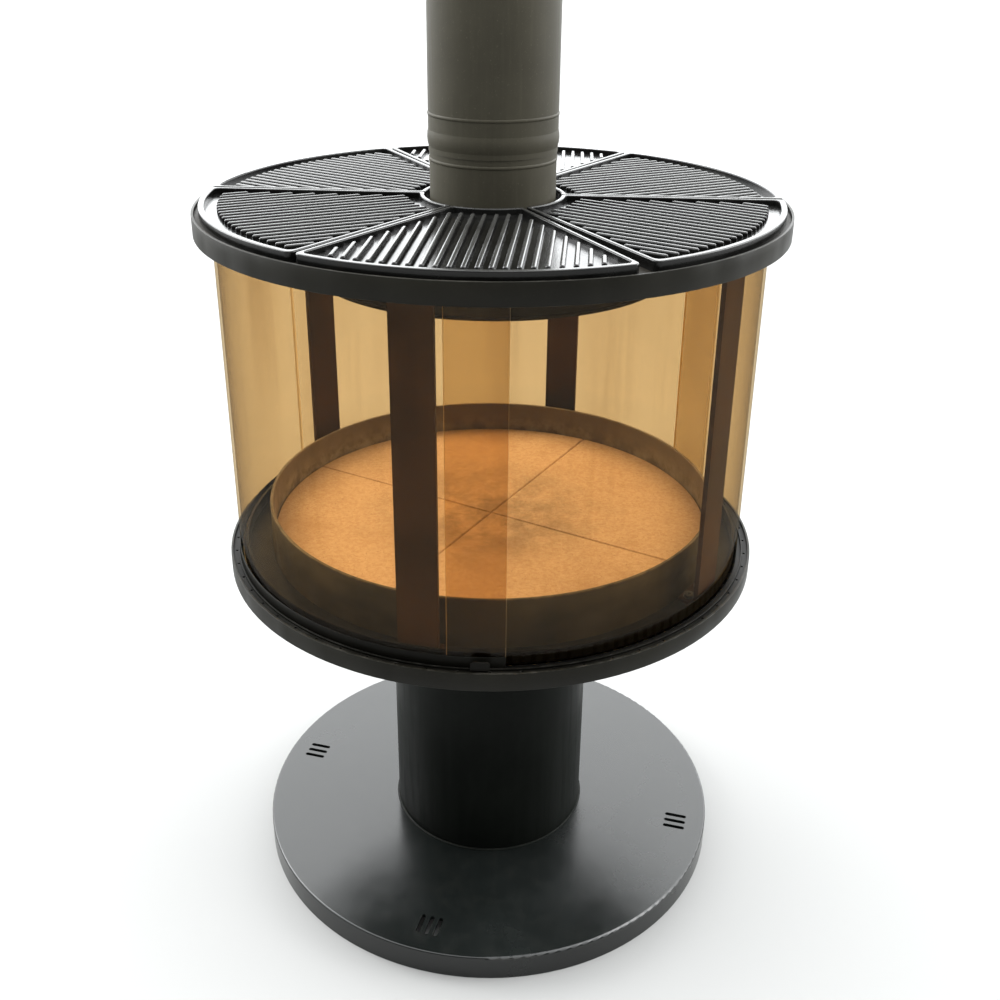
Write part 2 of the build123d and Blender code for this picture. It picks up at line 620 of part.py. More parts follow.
# Upper flue section with a bulged socket and a bead
with BuildPart() as flue_section:
    with BuildSketch(upright(0)):
        with BuildLine():
            Polyline(
                (SECTION_RADIUS, BULGE_TOP),
                (SECTION_RADIUS, SECTION_TOP),
                (FLUE_RADIUS, SECTION_TOP),
                (FLUE_RADIUS, SECTION_BOTTOM),
                (FLUE_RADIUS + SOCKET_WALL, SECTION_BOTTOM),
                (FLUE_RADIUS + SOCKET_WALL, BULGE_BOTTOM),
            )
            ThreePointArc(
                (FLUE_RADIUS + SOCKET_WALL, BULGE_BOTTOM),
                (SECTION_RADIUS + BULGE_RISE, BULGE_MIDDLE),
                (SECTION_RADIUS, BULGE_TOP),
            )
        make_face()
        add(bead(SECTION_RADIUS, SECTION_BEAD_HEIGHT, FLUE_RADIUS))
    revolve(axis=Axis.Z)
save(flue_section, "flue_section")

# Rain cap
cap_collar = hoop(SECTION_RADIUS, CAP_COLLAR_RADIUS, SECTION_TOP - CAP_COLLAR_LENGTH, SECTION_TOP)
save(cap_collar, "cap_collar")

with BuildPart() as cap_cone:
    with BuildSketch(upright(0)):
        with BuildLine():
            Polyline(
                (0, cap_underside(0) + CAP_SHEET_DROP),
                (CAP_RADIUS, CAP_RIM),
                (CAP_RADIUS, CAP_RIM - CAP_LIP),
                (CAP_RADIUS - CAP_SHEET, CAP_RIM - CAP_LIP),
                (CAP_RADIUS - CAP_SHEET, cap_underside(CAP_RADIUS - CAP_SHEET)),
                (0, cap_underside(0)),
                close=True,
            )
        make_face()
    revolve(axis=Axis.Z)
save(cap_cone, "cap_cone")

strut_inner = CAP_COLLAR_RADIUS
strut_outer = CAP_COLLAR_RADIUS + STRUT_THICKNESS
with BuildPart() as cap_struts:
    for index in range(STRUT_COUNT):
        with BuildSketch(upright(index * 360.0 / STRUT_COUNT - STRUT_SPAN / 2)):
            with BuildLine():
                Polyline(
                    (strut_inner, SECTION_TOP - STRUT_OVERLAP),
                    (strut_outer, SECTION_TOP - STRUT_OVERLAP),
                    (strut_outer, cap_underside(strut_outer)),
                    (strut_inner, cap_underside(strut_inner)),
                    close=True,
                )
            make_face()
        revolve(axis=Axis.Z, revolution_arc=STRUT_SPAN)
save(cap_struts, "cap_struts")

with BuildPart() as cap_rivets:
    for index in range(STRUT_COUNT):
        for drop in CAP_RIVET_DROPS:
            strut_plane = upright(index * 360.0 / STRUT_COUNT)
            seat_point = strut_plane.from_local_coords((strut_outer, SECTION_TOP - drop, 0))
            with BuildSketch(Plane(origin=seat_point, z_dir=strut_plane.x_dir)):
                Circle(RIVET_RADIUS)
            extrude(amount=RIVET_HEAD, taper=RIVET_TAPER)
save(cap_rivets, "cap_rivets")
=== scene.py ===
"""Looks of the round garden stove: finishes, weld beads, lap seams, floor, light and camera.

Everything is in metres in the row frame: +Z up, the front is -Y, the ground is z = 0.
A bearing is an angle seen from above, from the front towards the right.
"""
import bpy
import math
import random
from mathutils import Matrix, Vector


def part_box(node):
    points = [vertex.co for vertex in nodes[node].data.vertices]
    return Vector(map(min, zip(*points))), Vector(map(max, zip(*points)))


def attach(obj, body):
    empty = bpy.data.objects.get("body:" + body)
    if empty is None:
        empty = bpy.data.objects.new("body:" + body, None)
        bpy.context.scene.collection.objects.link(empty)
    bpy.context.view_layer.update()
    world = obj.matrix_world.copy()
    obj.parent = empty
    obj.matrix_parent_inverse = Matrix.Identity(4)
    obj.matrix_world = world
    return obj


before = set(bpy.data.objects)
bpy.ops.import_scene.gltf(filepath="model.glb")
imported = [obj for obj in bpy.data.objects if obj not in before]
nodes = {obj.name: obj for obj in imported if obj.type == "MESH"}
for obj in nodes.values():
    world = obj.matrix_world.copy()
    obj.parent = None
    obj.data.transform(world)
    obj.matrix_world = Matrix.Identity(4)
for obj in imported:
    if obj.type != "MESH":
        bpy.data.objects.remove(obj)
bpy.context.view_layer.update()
random.seed(7)

MM = 0.001
STOVE = "stove"
DOOR = "glass_door"

# Camera, as the object was seen
CAMERA_PLACE = (0.0, -1.3967, 1.2343)
CAMERA_PITCH = 24.58
CAMERA_TURN = -0.217
CAMERA_ROLL = 0.462
CAMERA_LENS = 41.39
CAMERA_SHIFT = (0.0048, -0.0466)

# Sky, floor and lamps
SKY_LEAN = 0.55
SKY_SPAN = (-0.55, 0.65)
SKY_FRONT = 0.15
SKY_BACK = 5.0
SKY_COLOUR = (0.97, 0.99, 1.0, 1.0)
FLOOR_REACH = 160.0
FLOOR_DROP = 0.2 * MM
GLASS_BOUNCES = 24
WARM_WHITE = (1.0, 0.96, 0.88)

# Rounded edges
BAND_EDGE = 0.5 * MM
PLATE_EDGE = 0.7 * MM
EDGE_ANGLE = 50.0
JOIN_GAP = 0.01 * MM

# Weld beads; an arc is a start bearing and a sweep in degrees, and a bead has so many steps to each ripple
BEAD_FACETS = 10
BEAD_PITCH = 2.4 * MM
BEAD_STEPS = 3
BEAD_FEWEST = 12
BEAD_RIPPLE = 0.10
BEAD_UNEVEN = 0.05
BEAD_LEAN = 18.0
BEAD_FLATNESS = 0.75
BEAD_END = 0.25
BEAD_TAPER = 4.0
FULL_RING = (180.0, 360.0)
STITCH_COUNT = 12
STITCH_START = 4.0
STITCH_SWEEP = 6.5
COLUMN_BEAD = 2.6 * MM
BAND_BEAD = 2.4 * MM
PULL_BEAD = 1.0 * MM
RAIL_RADIUS = 336.8 * MM
PULL_SHEET = 2.0 * MM
PULL_ARC = (-3.5, 3.4)

# Lap seams of the rolled sheet
SEAM_ACROSS = 12
SEAM_ALONG = 40
SEAM_SHOULDER = 4.0
PIPE_RADIUS = 77.2 * MM
LAP_START = 50.0 * MM
FLUE_SEAM_BEARING = 172.0
FLUE_SEAM_WIDTH = 9.0 * MM
FLUE_SEAM_RISE = 0.45 * MM
COLUMN_SEAM_BEARING = 176.0
COLUMN_SEAM_WIDTH = 5.0 * MM
COLUMN_SEAM_RISE = 0.5 * MM
SEAM_MARGIN = 3.0 * MM

# Colours, linear
BASE_BLACK = (0.0052, 0.0064, 0.0060)
COLUMN_BLACK = (0.0050, 0.0060, 0.0050)
BAND_BLACK = (0.0085, 0.0080, 0.0056)
LEDGE_BLACK = (0.0045, 0.0042, 0.0032)
FRAME_BLACK = (0.0110, 0.0090, 0.0060)
POST_BLACK = (0.0500, 0.0250, 0.0115)
PRIMER_BLACK = (0.0350, 0.0350, 0.0340)
FLUE_GREY = (0.0520, 0.0480, 0.0350)
BARE_STEEL = (0.23, 0.22, 0.20)
DUST = (0.27, 0.25, 0.215)
ASH = (0.42, 0.37, 0.30)
PAN_DARK = (0.020, 0.0172, 0.0130)
PAN_LIGHT = (0.052, 0.0445, 0.0340)
PAN_LIP = (0.20, 0.155, 0.105)
PAN_INSIDE = (0.165, 0.1300, 0.0940)
CLAY = (0.64, 0.430, 0.290)
CLAY_LIGHT = (0.78, 0.585, 0.425)
CLAY_STAIN = (0.44, 0.255, 0.14)
CLAY_DARK = (0.16, 0.090, 0.050)
SOOT = (0.060, 0.044, 0.033)
IRON = (0.0060, 0.0060, 0.0056)
IRON_BURNT = (0.020, 0.014, 0.009)
IRON_WORN = (0.075, 0.075, 0.071)
FIBRE_DARK = (0.0035, 0.0033, 0.0030)
FIBRE_LIGHT = (0.0105, 0.0095, 0.0082)
BOLT_DARK = (0.030, 0.027, 0.022)
BOLT_LIGHT = (0.115, 0.108, 0.095)
BRASS_DARK = (0.30, 0.19, 0.06)
BRASS_LIGHT = (0.62, 0.45, 0.18)
AMBER = (0.885, 0.790, 0.632)
AMBER_DEEP = (0.770, 0.660, 0.480)
SMOKE = (0.60, 0.47, 0.31)
GLASS_EDGE = (0.80, 0.66, 0.42)
GLASS_SHEEN = (0.20, 0.192, 0.178)
MIRROR_LEAST = 0.045
MIRROR_MOST = 0.36
FLOOR = (0.29, 0.29, 0.286)


class Finish:
    """One material's node tree, with short calls for the nodes that the finishes share."""

    def __init__(self, name):
        self.material = bpy.data.materials.new(name)
        self.material.use_nodes = True
        self.tree = self.material.node_tree
        self.tree.nodes.clear()
        self.output = self.node("ShaderNodeOutputMaterial")
        self.shader = self.node("ShaderNodeBsdfPrincipled")
        self.join(self.shader.outputs["BSDF"], self.output.inputs["Surface"])
        coordinates = self.node("ShaderNodeTexCoord")
        self.place = coordinates.outputs["Object"]
        self.own_normal = coordinates.outputs["Normal"]
        self.normal = self.node("ShaderNodeNewGeometry").outputs["Normal"]

    def node(self, kind, **settings):
        made = self.tree.nodes.new(kind)
        for key, value in settings.items():
            setattr(made, key, value)
        return made

    def join(self, source, target):
        self.tree.links.new(source, target)

    def feed(self, target, value):
        """Link a socket, or set a plain number or colour."""
        if isinstance(value, bpy.types.NodeSocket):
            self.join(value, target)
        elif isinstance(value, tuple) and len(value) == 3 and target.type == "RGBA":
            target.default_value = (*value, 1.0)
        else:
            target.default_value = value

    def noise(self, scale, detail=4.0, roughness=0.55, stretch=(1.0, 1.0, 1.0), shift=0.0, warp=0.0):
        spread = self.node("ShaderNodeMapping")
        spread.inputs["Scale"].default_value = stretch
        spread.inputs["Location"].default_value = (shift, shift * 0.7, shift * 1.3)
        self.join(self.place, spread.inputs["Vector"])
        grain = self.node("ShaderNodeTexNoise")
        self.join(spread.outputs["Vector"], grain.inputs["Vector"])
        grain.inputs["Scale"].default_value = scale
        grain.inputs["Detail"].default_value = detail
        grain.inputs["Roughness"].default_value = roughness
        grain.inputs["Distortion"].default_value = warp
        return grain.outputs["Fac"]

    def cells(self, scale, feature="F1", randomness=1.0):
        cell = self.node("ShaderNodeTexVoronoi", feature=feature)
        self.join(self.place, cell.inputs["Vector"])
        cell.inputs["Scale"].default_value = scale
        cell.inputs["Randomness"].default_value = randomness
        return cell.outputs["Distance"]

    def ramp(self, value, low, high, start=0.0, end=1.0, smooth=True):
        """Map a value between low and high onto start to end, clamped."""
        span = self.node("ShaderNodeMapRange", interpolation_type="SMOOTHSTEP" if smooth else "LINEAR")
        self.feed(span.inputs["Value"], value)
        span.inputs["From Min"].default_value = low
        span.inputs["From Max"].default_value = high
        span.inputs["To Min"].default_value = start
        span.inputs["To Max"].default_value = end
        return span.outputs["Result"]

    def calc(self, operation, first, second=0.0):
        made = self.node("ShaderNodeMath", operation=operation)
        self.feed(made.inputs[0], first)
        self.feed(made.inputs[1], second)
        return made.outputs["Value"]

    def blend(self, factor, first, second, mode="MIX"):
        made = self.node("ShaderNodeMix", data_type="RGBA", blend_type=mode)
        self.feed(made.inputs["Factor"], factor)
        self.feed(made.inputs["A"], first)
        self.feed(made.inputs["B"], second)
        return made.outputs["Result"]

    def mix(self, factor, first, second):
        """Shader that goes from the first to the second as the factor rises."""
        made = self.node("ShaderNodeMixShader")
        self.join(factor, made.inputs["Fac"])
        self.join(first, made.inputs[1])
        self.join(second, made.inputs[2])
        return made.outputs["Shader"]

    def parts(self, vector):
        split = self.node("ShaderNodeSeparateXYZ")
        self.join(vector, split.inputs["Vector"])
        return split.outputs["X"], split.outputs["Y"], split.outputs["Z"]

    def radius(self):
        """Distance from the main axis."""
        x, y, _ = self.parts(self.place)
        return self.calc("SQRT", self.calc("ADD", self.calc("MULTIPLY", x, x), self.calc("MULTIPLY", y, y)))

    def around(self):
        """Vector of sine and cosine round the main axis with the height, for patterns wrapped on a tube."""
        x, y, z = self.parts(self.place)
        reach = self.radius()
        wrap = self.node("ShaderNodeCombineXYZ")
        self.join(self.calc("DIVIDE", x, reach), wrap.inputs["X"])
        self.join(self.calc("DIVIDE", y, reach), wrap.inputs["Y"])
        self.join(z, wrap.inputs["Z"])
        return wrap.outputs["Vector"]

    def wrapped_noise(self, scale, lengthwise, detail=4.0, shift=0.0):
        """Noise round the axis whose marks run along the height; lengthwise squeezes them in height."""
        spread = self.node("ShaderNodeMapping")
        spread.inputs["Scale"].default_value = (1.0, 1.0, lengthwise)
        spread.inputs["Location"].default_value = (shift, shift, shift)
        self.join(self.around(), spread.inputs["Vector"])
        grain = self.node("ShaderNodeTexNoise")
        self.join(spread.outputs["Vector"], grain.inputs["Vector"])
        grain.inputs["Scale"].default_value = scale
        grain.inputs["Detail"].default_value = detail
        return grain.outputs["Fac"]

    def upward(self, low=0.6, high=0.95):
        """One on faces that look up, nought on walls."""
        _, _, z = self.parts(self.normal)
        return self.ramp(z, low, high)

    def edges(self, reach, gain=6.0):
        """Mask along sharp edges, from how far a rounded normal leans off the face."""
        rounded = self.node("ShaderNodeBevel", samples=4)
        rounded.inputs["Radius"].default_value = reach
        lean = self.node("ShaderNodeVectorMath", operation="DOT_PRODUCT")
        self.join(rounded.outputs["Normal"], lean.inputs[0])
        self.join(self.normal, lean.inputs[1])
        return self.ramp(self.calc("SUBTRACT", 1.0, lean.outputs["Value"]), 0.02, 1.0 / gain)

    def bump(self, height, distance, strength=1.0, under=None):
        made = self.node("ShaderNodeBump")
        self.join(height, made.inputs["Height"])
        made.inputs["Distance"].default_value = distance
        made.inputs["Strength"].default_value = strength
        if under is not None:
            self.join(under, made.inputs["Normal"])
        return made.outputs["Normal"]

    def finish(self, colour, roughness, normal=None, metallic=None):
        self.feed(self.shader.inputs["Base Color"], colour)
        self.feed(self.shader.inputs["Roughness"], roughness)
        if normal is not None:
            self.join(normal, self.shader.inputs["Normal"])
        if metallic is not None:
            self.feed(self.shader.inputs["Metallic"], metallic)
        return self.material


def painted(name, colour, roughness, gloss=0.12, dust=0.1, wear=0.35, streaks=0.0, peel=0.2, mottle=0.3):
    """Heat-resistant paint on sheet steel: orange peel, cloudy sheen, dust on ledges, rubbed edges."""
    f = Finish(name)
    cloud = f.noise(6.0, 5.0, 0.6)
    speck = f.noise(420.0, 2.0, 0.5, shift=3.0)
    light = tuple(min(1.0, c * (1.0 + mottle)) for c in colour)
    dark = tuple(c * (1.0 - mottle) for c in colour)
    base = f.blend(f.ramp(cloud, 0.3, 0.7), dark, light)
    base = f.blend(f.ramp(speck, 0.62, 0.78, 0.0, 0.35), base, tuple(c * 2.2 for c in colour))
    shine = f.ramp(cloud, 0.3, 0.72, roughness - 0.06, roughness + 0.07)
    if streaks:
        run = f.wrapped_noise(16.0, 0.7, 5.0)
        base = f.blend(f.ramp(run, 0.45, 0.75, 0.0, streaks), base, tuple(c * 2.0 for c in colour))
        shine = f.calc("ADD", shine, f.ramp(run, 0.4, 0.8, -0.04, 0.08))
    drift = f.ramp(f.noise(38.0, 6.0, 0.7, shift=9.0), 0.42, 0.75, 0.0, dust)
    settled = f.calc("MULTIPLY", f.upward(), drift)
    base = f.blend(settled, base, DUST)
    shine = f.calc("ADD", shine, f.calc("MULTIPLY", settled, 0.5))
    if wear:
        patches = f.ramp(f.noise(90.0, 4.0, 0.6, shift=5.0), 0.45, 0.7, 0.0, wear)
        rubbed = f.calc("MULTIPLY", f.edges(1.4 * MM), patches)
        base = f.blend(rubbed, base, BARE_STEEL)
    fine = f.bump(f.noise(900.0, 2.0, 0.5), 0.12 * MM, peel)
    wavy = f.bump(f.noise(5.0, 2.0, 0.4, shift=2.0), 2.0 * MM, 0.12, fine)
    f.shader.inputs["Specular IOR Level"].default_value = gloss
    return f.finish(base, shine, wavy)


def pan_finish():
    """Blackened pan: ash dust thick near the floor, brown heat stain at the lip."""
    f = Finish("pan_black")
    _, _, z = f.parts(f.place)
    low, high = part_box("fire_pan")
    cloud = f.wrapped_noise(5.0, 6.0, 6.0)
    base = f.blend(f.ramp(cloud, 0.3, 0.7), PAN_DARK, PAN_LIGHT)
    inside = f.ramp(f.radius(), high.x - 1.5 * MM, high.x - 3.0 * MM)
    base = f.blend(f.calc("MULTIPLY", inside, 0.7), base, PAN_INSIDE)
    ashy = f.calc("MULTIPLY", f.ramp(z, low.z + 0.058, low.z + 0.022, 0.0, 0.55), inside)
    base = f.blend(f.calc("MULTIPLY", ashy, f.ramp(f.noise(30.0, 6.0, 0.7), 0.35, 0.65)), base, ASH)
    rim = f.ramp(z, high.z - 3.0 * MM, high.z - 0.6 * MM, 0.0, 0.5)
    base = f.blend(f.calc("MULTIPLY", rim, f.ramp(f.noise(60.0, 4.0), 0.35, 0.6)), base, PAN_LIP)
    rough = f.ramp(f.noise(24.0, 5.0), 0.3, 0.7, 0.46, 0.68)
    f.shader.inputs["Specular IOR Level"].default_value = 0.4
    return f.finish(base, rough, f.bump(f.noise(520.0, 4.0, 0.6), 0.25 * MM, 0.5))


def clay_finish():
    """Sandy fireclay: grog specks, pits, a sooted middle and pale worn edges."""
    f = Finish("fireclay_sand")
    sand = f.noise(210.0, 6.0, 0.7)
    base = f.blend(f.ramp(sand, 0.33, 0.67), CLAY, CLAY_LIGHT)
    cloud = f.noise(9.0, 5.0, 0.6, shift=4.0)
    base = f.blend(f.ramp(cloud, 0.45, 0.75, 0.0, 0.4), base, CLAY_STAIN)
    grog = f.ramp(f.cells(300.0), 0.19, 0.12)
    picked = f.ramp(f.noise(120.0, 3.0, 0.5, shift=8.0), 0.46, 0.58)
    base = f.blend(f.calc("MULTIPLY", f.calc("MULTIPLY", grog, picked), 0.85), base, CLAY_DARK)
    burnt = f.ramp(f.noise(17.0, 6.0, 0.7, shift=6.0), 0.34, 0.66)
    soot = f.calc("MULTIPLY", f.ramp(f.radius(), 0.22, 0.03, 0.0, 0.5), burnt)
    base = f.blend(soot, base, SOOT)
    base = f.blend(f.calc("MULTIPLY", f.edges(1.6 * MM), 0.4), base, CLAY_LIGHT)
    pits = f.bump(f.ramp(f.cells(150.0), 0.05, 0.30), 0.35 * MM, 0.6)
    return f.finish(base, f.ramp(sand, 0.3, 0.7, 0.80, 0.96), f.bump(sand, 0.5 * MM, 0.7, pits))


def iron_finish():
    """Seasoned cast iron: sand-cast grain, oily sheen, rib and rim tops worn bright."""
    f = Finish("seasoned_iron")
    _, _, z = f.parts(f.place)
    low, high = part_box("grill_plate_1")
    grain = f.noise(620.0, 5.0, 0.65)
    cloud = f.noise(14.0, 5.0, 0.65, shift=1.0)
    base = f.blend(f.ramp(cloud, 0.3, 0.7), tuple(c * 0.6 for c in IRON), tuple(c * 1.6 for c in IRON))
    base = f.blend(f.ramp(f.noise(26.0, 6.0, 0.7, shift=7.0), 0.58, 0.74, 0.0, 0.5), base, IRON_BURNT)
    top = f.ramp(z, high.z - 3.0 * MM, high.z - 1.8 * MM)
    crest = f.calc("MULTIPLY", top, f.upward(0.55, 0.98))
    worn = f.calc("MULTIPLY", crest, f.ramp(cloud, 0.25, 0.6, 0.2, 0.7))
    base = f.blend(worn, base, IRON_WORN)
    ribbed = f.ramp(z, low.z + 5.6 * MM, low.z + 7.4 * MM, 0.0, 0.07)
    rough = f.calc("ADD", f.ramp(cloud, 0.3, 0.7, 0.13, 0.21), ribbed)
    metal = f.ramp(worn, 0.0, 1.0, 0.0, 0.5)
    f.shader.inputs["Specular IOR Level"].default_value = 0.28
    return f.finish(base, rough, f.bump(grain, 0.20 * MM, 0.40), metal)


def soot_film(f, low, high):
    """Share of soot on a pane: upright runs that thicken with height, and a patchy foot."""
    _, _, z = f.parts(f.place)
    run = f.wrapped_noise(5.0, 0.22, 4.0, shift=2.0)
    fine = f.wrapped_noise(34.0, 0.12, 3.0, shift=5.0)
    fogged = f.ramp(z, low.z + 0.10, high.z, 0.03, 0.26)
    film = f.calc("MULTIPLY", f.ramp(run, 0.42, 0.72), fogged)
    film = f.calc("ADD", film, f.calc("MULTIPLY", f.ramp(fine, 0.52, 0.72, 0.0, 0.10), f.ramp(run, 0.3, 0.7)))
    foot = f.ramp(z, low.z + 0.085, low.z, 0.0, 0.22)
    return f.calc("ADD", film, f.calc("MULTIPLY", foot, f.ramp(f.noise(20.0, 5.0, 0.6), 0.3, 0.7)))


def clear_sheet(f, film):
    """Tinted see-through sheet, deeper in colour and more of a mirror where it turns away."""
    clear = f.node("ShaderNodeBsdfTransparent")
    f.join(f.blend(film, AMBER, SMOKE), clear.inputs["Color"])
    deep = f.node("ShaderNodeBsdfTransparent")
    deep.inputs["Color"].default_value = (*AMBER_DEEP, 1.0)
    mirror = f.node("ShaderNodeBsdfGlossy")
    mirror.inputs["Color"].default_value = (*GLASS_SHEEN, 1.0)
    mirror.inputs["Roughness"].default_value = 0.03
    facing = f.node("ShaderNodeLayerWeight")
    facing.inputs["Blend"].default_value = 0.5
    slanted = f.calc("POWER", facing.outputs["Facing"], 3.0)
    grazing = f.calc("POWER", facing.outputs["Facing"], 5.0)
    tinted = f.mix(slanted, clear.outputs["BSDF"], deep.outputs["BSDF"])
    reflected = f.ramp(grazing, 0.0, 1.0, MIRROR_LEAST, MIRROR_MOST, smooth=False)
    return f.mix(reflected, tinted, mirror.outputs["BSDF"])


def ground_edge(f):
    """One on a pane's ground edges, nought on its two curved faces.

    Place and normal are both the object's own, so that the mask turns with the sliding pane.
    """
    x, y, _ = f.parts(f.place)
    nx, ny, _ = f.parts(f.own_normal)
    reach = f.radius()
    across = f.calc("MULTIPLY", nx, f.calc("DIVIDE", x, reach))
    along = f.calc("MULTIPLY", ny, f.calc("DIVIDE", y, reach))
    outward = f.calc("ADD", across, along)
    return f.ramp(f.calc("ABSOLUTE", outward), 0.6, 0.4)


def pane_finish(name):
    """Thin amber heat-proof glass: clear, faint soot film in upright runs, polished bright edges."""
    f = Finish(name)
    low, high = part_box("door_glass")
    f.shader.inputs["Base Color"].default_value = (*GLASS_EDGE, 1.0)
    f.shader.inputs["Roughness"].default_value = 0.25
    sheet = clear_sheet(f, soot_film(f, low, high))
    whole = f.mix(ground_edge(f), sheet, f.shader.outputs["BSDF"])
    f.join(whole, f.output.inputs["Surface"])
    return f.material


def fibre_finish():
    """Woven glass-fibre tape."""
    f = Finish("fibre_tape")
    weave = f.node("ShaderNodeTexWave", wave_type="BANDS", bands_direction="Z")
    f.join(f.place, weave.inputs["Vector"])
    weave.inputs["Scale"].default_value = 420.0
    weave.inputs["Distortion"].default_value = 3.0
    strands = f.calc("MULTIPLY", weave.outputs["Fac"], f.ramp(f.noise(500.0), 0.3, 0.7))
    base = f.blend(strands, FIBRE_DARK, FIBRE_LIGHT)
    f.shader.inputs["Specular IOR Level"].default_value = 0.05
    return f.finish(base, 0.9, f.bump(strands, 0.4 * MM, 0.7))


def fastener_finish():
    """Blackened steel fasteners, rubbed brighter in patches."""
    f = Finish("black_steel")
    cloud = f.noise(110.0, 5.0, 0.6)
    base = f.blend(f.ramp(cloud, 0.35, 0.7), BOLT_DARK, BOLT_LIGHT)
    return f.finish(base, f.ramp(cloud, 0.3, 0.7, 0.30, 0.52), f.bump(f.noise(1500.0), 0.05 * MM, 0.4), 0.6)


def brass_finish():
    """Worn brass glides."""
    f = Finish("worn_brass")
    cloud = f.noise(160.0, 5.0, 0.6)
    base = f.blend(f.ramp(cloud, 0.35, 0.7), BRASS_DARK, BRASS_LIGHT)
    return f.finish(base, f.ramp(cloud, 0.3, 0.7, 0.26, 0.48), f.bump(f.noise(1200.0), 0.05 * MM, 0.3), 0.95)


def soften(node, width, segments=2):
    """Round a CAD node's sharp edges, so that they catch the light."""
    target = nodes[node]
    joined = target.modifiers.new("joined", "WELD")
    joined.merge_threshold = JOIN_GAP
    rounded = target.modifiers.new("rounded", "BEVEL")
    rounded.width = width
    rounded.segments = segments
    rounded.limit_method = "ANGLE"
    rounded.angle_limit = math.radians(EDGE_ANGLE)
    rounded.harden_normals = True


def coat(material, *names):
    for name in names:
        nodes[name].data.materials.clear()
        nodes[name].data.materials.append(material)


def bearing_point(radius, bearing, height):
    turn = math.radians(bearing)
    return Vector((radius * math.sin(turn), -radius * math.cos(turn), height))


def add_piece(name, points, faces, material, body=STOVE):
    mesh = bpy.data.meshes.new(name)
    mesh.from_pydata(points, [], faces)
    mesh.update()
    for face in mesh.polygons:
        face.use_smooth = True
    mesh.materials.append(material)
    piece = bpy.data.objects.new(name, mesh)
    bpy.context.scene.collection.objects.link(piece)
    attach(piece, body)
    return piece


def bead_rings(radius, height, size, start, sweep, lean):
    """Cross-sections of one rippled weld bead laid along an arc; lean turns its face from flat to upright."""
    count = max(BEAD_FEWEST, int(radius * math.radians(sweep) / BEAD_PITCH * BEAD_STEPS))
    closed = sweep >= 360.0
    rings = []
    for step in range(count if closed else count + 1):
        bearing = start + sweep * step / count
        wave = BEAD_RIPPLE * math.sin(step * math.tau / BEAD_STEPS)
        ripple = 1.0 + wave + random.uniform(-BEAD_UNEVEN, BEAD_UNEVEN)
        inward = min(step, count - step) / BEAD_TAPER
        swell = 1.0 if closed else min(1.0, BEAD_END + (1.0 - BEAD_END) * inward)
        reach = size * ripple * swell
        ring = []
        for turn in range(BEAD_FACETS):
            angle = math.tau * turn / BEAD_FACETS + lean
            out = radius + reach * math.cos(angle)
            ring.append(bearing_point(out, bearing, height + BEAD_FLATNESS * reach * math.sin(angle)))
        rings.append(ring)
    return rings, closed


def weld_bead(name, radius, height, size, arcs, material, body=STOVE):
    """Weld beads along arcs of one circle, as one piece."""
    points, faces = [], []
    for start, sweep in arcs:
        rings, closed = bead_rings(radius, height, size, start, sweep, math.radians(BEAD_LEAN))
        first = len(points)
        for ring in rings:
            points.extend(ring)
        last = len(rings) if closed else len(rings) - 1
        for step in range(last):
            low = first + step * BEAD_FACETS
            high = first + (step + 1) % len(rings) * BEAD_FACETS
            for turn in range(BEAD_FACETS):
                ahead = (turn + 1) % BEAD_FACETS
                faces.append((low + turn, low + ahead, high + ahead, high + turn))
        if not closed:
            faces.append(tuple(first + turn for turn in reversed(range(BEAD_FACETS))))
            faces.append(tuple(first + last * BEAD_FACETS + turn for turn in range(BEAD_FACETS)))
    return add_piece(name, points, faces, material, body)


def lap_seam(name, radius, bottom, top, bearing, width, rise, material):
    """Upright overlap of rolled sheet: a thin raised strip with rounded sides."""
    spread = math.degrees(width / radius)
    points, faces = [], []
    for layer in range(SEAM_ALONG + 1):
        height = bottom + (top - bottom) * layer / SEAM_ALONG
        for side in range(SEAM_ACROSS + 1):
            share = side / SEAM_ACROSS
            swell = min(1.0, SEAM_SHOULDER * min(share, 1.0 - share))
            spot = bearing + spread * (share - 0.5)
            points.append(bearing_point(radius + rise * math.sqrt(swell), spot, height))
        points.append(bearing_point(radius - rise, bearing + spread * 0.5, height))
        points.append(bearing_point(radius - rise, bearing - spread * 0.5, height))
    row = len(points) // (SEAM_ALONG + 1)
    for layer in range(SEAM_ALONG):
        for side in range(row):
            ahead = (side + 1) % row
            low = layer * row
            faces.append((low + side, low + ahead, low + row + ahead, low + row + side))
    faces.append(tuple(reversed(range(row))))
    faces.append(tuple(SEAM_ALONG * row + side for side in range(row)))
    return add_piece(name, points, faces, material)


def numbered(stem, count):
    """Names of the nodes that differ only in their number."""
    return [f"{stem}_{index}" for index in range(1, count + 1)]


def coat_hearth():
    """Fire pan, fireclay and grill plates."""
    coat(pan_finish(), "fire_pan")
    coat(clay_finish(), *numbered("hearth_slab", 4))
    coat(iron_finish(), *numbered("grill_plate", 6))


def coat_glazing():
    """Panes with their seals, tape and glides."""
    coat(pane_finish("amber_glass"), "fixed_pane_right", "fixed_pane_back", "door_glass")
    coat(fibre_finish(), "pane_seal_right", "pane_seal_back", "pane_tape", "pane_rope")
    coat(brass_finish(), "door_glides")


def coat_fasteners():
    """Bolts, screws, rods, nuts and rivets."""
    fastener = fastener_finish()
    coat(fastener, "foot_bolts", "head_bolts", "post_foot_screws", "post_head_screws")
    coat(fastener, "baffle_rods", "baffle_nuts", "cap_rivets")


def soften_sheet():
    """Rounded edges on the strips and plates whose edges show."""
    for name in ("lower_band", "top_band", "track_lip", "inner_hoop", "door_bottom_rail", "cap_collar"):
        soften(name, BAND_EDGE)
    for name in (*numbered("post", 4), "smoke_baffle", "top_frame", "column_tube"):
        soften(name, PLATE_EDGE)


